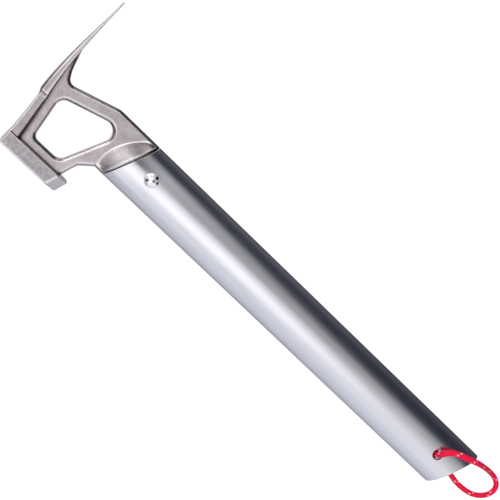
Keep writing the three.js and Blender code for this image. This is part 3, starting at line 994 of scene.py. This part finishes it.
def bumped(tree, height, strength, depth):
    """The normal of a surface that noise raises; depth is in millimetres."""
    inputs = {"Height": height, "Strength": strength, "Distance": depth * MM}
    return node(tree, "Bump", inputs).outputs["Normal"]


def stored(tree, name):
    """The number that the head's mesh holds for each vertex under that name."""
    return node(tree, "Attribute", attribute_name=name).outputs["Fac"]


def bare_metal_and_highlight(tree):
    """How much painted highlight and bare metal the cast head shows: a painted highlight on the
    pick, along the shoulder's arc and the rim's lip and on the block's chamfers, and rubbed edges of
    worn bare metal with a painted highlight.
    """
    highlight_and_bare = remap(tree, stored(tree, "across"), *PICK_HIGHLIGHT)
    arc = remap(tree, stored(tree, "ridge"), *ARC_FADE, ARC_HIGHLIGHT, 0)
    from_lip = maths(tree, "ABSOLUTE", maths(tree, "SUBTRACT", stored(tree, "land"), RIM_LIP))
    lip = remap(tree, from_lip, *LIP_FADE, LIP_HIGHLIGHT, 0)
    chamfer = maths(tree, "MULTIPLY", stored(tree, "chamfer"), CHAMFER_HIGHLIGHT)
    bend = stored(tree, "bend")
    edge = remap(tree, bend, *RUBBED_HIGHLIGHT_BEND, 0, RUBBED_HIGHLIGHT)
    rubbed_highlight = maths(tree, "MULTIPLY", edge, remap(tree, bend, *SHARP_BEND, 1, SHARP_SHARE))
    for mark in (arc, lip, chamfer, rubbed_highlight):
        highlight_and_bare = maths(tree, "MAXIMUM", highlight_and_bare, mark)
    return highlight_and_bare


def cast_steel():
    """Cast stainless steel, lightly blasted: fine grain and cloudy tone, with painted shade in the
    corners, by the joint and on the pick's outer side, and painted highlights with worn bare edges.
    """
    material, tree, shader = new_material("cast_steel")
    clouds = noise(tree, CAST_CLOUDS, 4, 0.6)
    blotches = noise(tree, CAST_BLOTCHES, 3, 0.6)
    grain = noise(tree, CAST_GRAIN, 3, 0.65)
    shift = maths(tree, "SUBTRACT", grain, 0.5)
    corner = maths(tree, "MULTIPLY_ADD", shift, CORNER_RAGGED, stored(tree, "crease"))
    joint_shade = remap(tree, stored(tree, "joint_shade"), *JOINT_SHADE_FADE, JOINT_SHADE_DEPTH, 0)
    spots = remap(tree, blotches, *BLOCK_SPOT_FADE, *BLOCK_SPOT_DEPTHS)
    layers = [  # each colour, and how much of it covers those before it
        (CAST_SPECK, remap(tree, grain, *NOISE_MIDDLE, 0, SPECK_DEPTH)),
        (CAST_BLOTCH, remap(tree, blotches, *BLOTCH_FADE, 0, BLOTCH_DEPTH)),
        (CAST_BLOCK, maths(tree, "MULTIPLY", stored(tree, "block"), spots)),
        # painted shade beside the web's corners
        (CAST_CREASE_SHADE, remap(tree, corner, *CREASE_SHADE_FADE, CREASE_SHADE_DEPTH, 0)),
        # painted highlights, and worn bare edges
        (CAST_BARE_HIGHLIGHT, bare_metal_and_highlight(tree)),
        # painted shade on the pick's outer side
        (CAST_PICK_SHADE, remap(tree, stored(tree, "across"), *PICK_SHADE_FADE, 0, PICK_SHADE_DEPTH)),
        # painted shade in the deepest corners and by the joint
        (CAST_DEEP_SHADE, maths(tree, "MAXIMUM", remap(tree, corner, *CORNER_SHADE_FADE, 1, 0), joint_shade)),
    ]
    colour = mix_colours(tree, remap(tree, clouds, *NOISE_MIDDLE), CAST_DARK, CAST_LIGHT)
    for layer, share in layers:
        colour = mix_colours(tree, share, colour, layer)
    set_inputs(tree, shader, {
        "Base Color": colour,
        "Metallic": 1,
        "Roughness": remap(tree, grain, *NOISE_RANGE, *CAST_ROUGHNESS),
        "Normal": bumped(tree, grain, 0.5, CAST_BUMP),
    })
    return material


def joint_tube_shade(tree):
    """How dark the painted shade on the tube beside the joint is."""
    place = node(tree, "SeparateXYZ", {0: node(tree, "TexCoord").outputs["Object"]}).outputs
    reach = TUBE_SHADE_SPAN * MM
    x = remap(tree, place[0], ORIGIN[0] - reach, ORIGIN[0] + reach, -TUBE_SHADE_SPAN, TUBE_SHADE_SPAN)
    y = remap(tree, place[1], ORIGIN[1] - reach, ORIGIN[1] + reach, -TUBE_SHADE_SPAN, TUBE_SHADE_SPAN)
    from_joint = maths(tree, "MULTIPLY_ADD", y, -CUT_SLOPE, x)
    start = remap(tree, y, *TUBE_SHADE_START)
    end = remap(tree, y, *TUBE_SHADE_END)
    along = remap(tree, from_joint, *TUBE_SHADE_FADE, 0, TUBE_SHADE_DEPTH)
    return maths(tree, "MULTIPLY", along, maths(tree, "MULTIPLY", start, end))


def brushed_aluminium():
    """Aluminium brushed along its length and anodised clear, with painted shade beside the joint."""
    material, tree, shader = new_material("brushed_aluminium")
    streaks = noise(tree, 1, 3, 0.6, stretch=FINE_STREAKS)
    broad = noise(tree, 1, 2, 0.5, stretch=BROAD_STREAKS)
    clouds = noise(tree, TUBE_CLOUDS, 3)
    broad_part = maths(tree, "MULTIPLY", broad, 1 - FINE_SHARE)
    tone = maths(tree, "MULTIPLY_ADD", streaks, FINE_SHARE, broad_part)
    colour = mix_colours(tree, remap(tree, tone, *NOISE_MIDDLE), TUBE_DARK, TUBE_LIGHT)
    colour = mix_colours(tree, remap(tree, clouds, *CLOUD_FADE, 0, CLOUD_DEPTH), colour, TUBE_DARK)
    set_inputs(tree, shader, {
        # painted shade beside the joint
        "Base Color": mix_colours(tree, joint_tube_shade(tree), colour, TUBE_SHADE),
        "Metallic": 1,
        "Roughness": remap(tree, streaks, *NOISE_RANGE, *TUBE_ROUGHNESS),
        "Normal": bumped(tree, streaks, 0.35, TUBE_BUMP),
    })
    return material


def dark_spots(tree):
    """How dark each point of the rivet's head is from a few near-black spots."""
    place = node(tree, "TexCoord").outputs["Object"]
    flat = node(tree, "VectorMath", {0: place, 1: (1, 1, 0)}, operation="MULTIPLY").outputs[0]
    reach = SPOT_RAGGED * MM
    ragged = remap(tree, noise(tree, SPOT_NOISE, 2), *NOISE_RANGE, -reach, reach)
    darkest = 0.0
    for x, y, radius, tone in RIVET_DARK_SPOTS:
        middle = to_frame((RIVET_X + x, y, 0))
        middle[2] = 0
        inputs = {0: flat, 1: tuple(middle)}
        away = node(tree, "VectorMath", inputs, operation="DISTANCE").outputs["Value"]
        away = maths(tree, "ADD", away, ragged)
        spot = remap(tree, away, SPOT_CORE * radius * MM, radius * MM, tone, 0)
        darkest = maths(tree, "MAXIMUM", darkest, spot)
    return darkest


def polished_steel():
    """Polished rivet steel with smears, handling marks and a few dark spots."""
    material, tree, shader = new_material("polished_steel")
    marks = noise(tree, RIVET_MARKS, 3, 0.6)
    smears = noise(tree, RIVET_SMEARS, 2)
    colour = mix_colours(tree, remap(tree, smears, *SMEAR_FADE), RIVET_LIGHT, RIVET_SMEAR)
    set_inputs(tree, shader, {
        "Base Color": mix_colours(tree, dark_spots(tree), colour, RIVET_SPOT_DARK),
        "Metallic": RIVET_METAL,
        "Roughness": remap(tree, marks, *NOISE_RANGE, *RIVET_ROUGHNESS),
        "Normal": bumped(tree, smears, 0.3, RIVET_BUMP),
    })
    return material


def braid_pattern(tree):
    """How deep each point lies in a groove between strands, and whether it's on the pale strand."""
    turn, along = node(tree, "SeparateXYZ", {0: node(tree, "TexCoord").outputs["UV"]}).outputs[:2]
    turn = maths(tree, "MULTIPLY", turn, BRAID_STRANDS)
    along = maths(tree, "MULTIPLY", along, BRAID_STRANDS)
    a = maths(tree, "ADD", turn, along)
    b = maths(tree, "SUBTRACT", turn, along)
    whole = maths(tree, "ADD", maths(tree, "FLOOR", a), maths(tree, "FLOOR", b))
    b_over = maths(tree, "FLOORED_MODULO", whole, 2.0)
    a_over = maths(tree, "SUBTRACT", 1.0, b_over)
    across_a = maths(tree, "MULTIPLY", maths(tree, "FRACT", a), a_over)
    across_b = maths(tree, "MULTIPLY", maths(tree, "FRACT", b), b_over)
    across = maths(tree, "ADD", across_a, across_b)
    from_middle = maths(tree, "ABSOLUTE", maths(tree, "SUBTRACT", across, 0.5))
    strand = maths(tree, "FLOORED_MODULO", maths(tree, "FLOOR", a), float(BRAID_STRANDS))
    pale = maths(tree, "MULTIPLY", maths(tree, "LESS_THAN", strand, 0.5), a_over)
    return remap(tree, from_middle, *GROOVE_SHADE_FADE), pale


def red_cord():
    """Red braided polyester with one pale strand: each strand is painted with shade where it runs
    into the grooves beside it.
    """
    material, tree, shader = new_material("red_cord")
    groove, pale = braid_pattern(tree)
    fuzz = noise(tree, CORD_FUZZ, 3, 0.6)
    colour = mix_colours(tree, remap(tree, fuzz, *NOISE_MIDDLE), CORD_DARK, CORD_LIGHT)
    colour = mix_colours(tree, pale, colour, CORD_TRACER)
    # painted shade in the grooves between strands
    depth = maths(tree, "MULTIPLY", groove, GROOVE_SHADE_DEPTH)
    height = maths(tree, "MULTIPLY_ADD", fuzz, 0.5, maths(tree, "SUBTRACT", 1.0, groove))
    set_inputs(tree, shader, {
        "Base Color": mix_colours(tree, depth, colour, CORD_GROOVE_SHADE),
        "Roughness": 0.6,
        "Specular IOR Level": 0.2,
        "Sheen Weight": 0.04,
        "Sheen Roughness": 0.4,
        "Sheen Tint": CORD_SHEEN,
        "Normal": bumped(tree, height, 0.5, CORD_BUMP),
    })
    return material


# ---- stage and light ----


def brightness_ramp(tree, turn, stops):
    stops = [(0, 1), *stops, (1, 1)]
    ramp = node(tree, "ValToRGB", {"Fac": turn})
    while len(ramp.color_ramp.elements) < len(stops):
        ramp.color_ramp.elements.new(0.5)
    for element, (position, value) in zip(ramp.color_ramp.elements, stops):
        element.position = position
        element.color = (value, value, value, 1)
    return ramp.outputs["Color"]


def make_studio():
    """Light from all round that changes along the handle, and a plain pale backdrop."""
    world = bpy.data.worlds.new("studio")
    world.use_nodes = True
    bpy.context.scene.world = world
    tree = world.node_tree
    tree.nodes.clear()
    x, y, z = node(tree, "SeparateXYZ", {0: node(tree, "TexCoord").outputs["Generated"]}).outputs
    turn = maths(tree, "MULTIPLY_ADD", maths(tree, "ARCTAN2", y, z), 1 / (2 * math.pi), 0.5)

    def give_way(light, stops, ends):
        """Light that turns into another ramp's between two values of X."""
        return mix_colours(tree, remap(tree, x, *ends), light, brightness_ramp(tree, turn, stops))

    light = brightness_ramp(tree, turn, OVER_TUBE)
    light = give_way(light, OVER_BUTT, BUTT_BLEND)
    light = tinted(tree, remap(tree, turn, *COOL_SIDE), light, COOL_TINT)
    card_x = maths(tree, "SUBTRACT", maths(tree, "MAXIMUM", x, CARD_END), CARD_MIDDLE)
    card_turn = maths(tree, "MULTIPLY_ADD", card_x, CARD_SLANT, turn)
    light = mix_colours(tree, brightness_ramp(tree, card_turn, DARK_CARD), CARD_COLOUR, light)
    light = give_way(light, OVER_HEAD, HEAD_BLEND)
    light = give_way(light, PAST_HEAD, PAST_HEAD_BLEND)
    light = give_way(light, BEYOND_HEAD, END_BLEND)
    light = tinted(tree, 1.0, light, STUDIO_TINT)
    light = mix_colours(tree, node(tree, "LightPath").outputs["Is Camera Ray"], light, BACKDROP)
    background = node(tree, "Background", {"Color": light, "Strength": 1.0})
    node(tree, "OutputWorld", {"Surface": background.outputs[0]})


def make_fill_light():
    """A wide soft lamp overhead. Metals don't mirror it."""
    data = bpy.data.lights.new("fill", "AREA")
    data.shape = "DISK"
    data.size = FILL_SIZE
    data.energy = FILL_ENERGY
    lamp = add_object("fill", data)
    lamp.location = FILL_PLACE
    lamp.rotation_euler = Vector(FILL_PLACE).to_track_quat("Z", "Y").to_euler()
    lamp.visible_glossy = False


def make_floor():
    """A plain pale floor, which neither lights the hammer nor shows in it."""
    material, tree, shader = new_material("pale_floor")
    set_inputs(tree, shader, {
        "Base Color": FLOOR_COLOUR,
        "Roughness": 1,
        "Specular IOR Level": 0,
        "Emission Color": (1, 1, 1, 1),
        "Emission Strength": FLOOR_GLOW,
    })
    s = FLOOR_HALF_SIZE
    corners = [(x, y, -FLOOR_GAP) for x, y in ((-s, -s), (s, -s), (s, s), (-s, s))]
    mesh = bpy.data.meshes.new("floor")
    mesh.from_pydata(corners, [], [(0, 1, 2, 3)])
    mesh.materials.append(material)
    floor = add_object("floor", mesh)
    floor.visible_glossy = False
    floor.visible_diffuse = False


def main():
    make_camera()
    make_cord(red_cord())
    make_studio()
    make_fill_light()
    make_floor()
    bpy.context.scene.view_settings.view_transform = "Standard"
    make_tube(brushed_aluminium())
    make_rivet(polished_steel())
    make_head(cast_steel())


main()
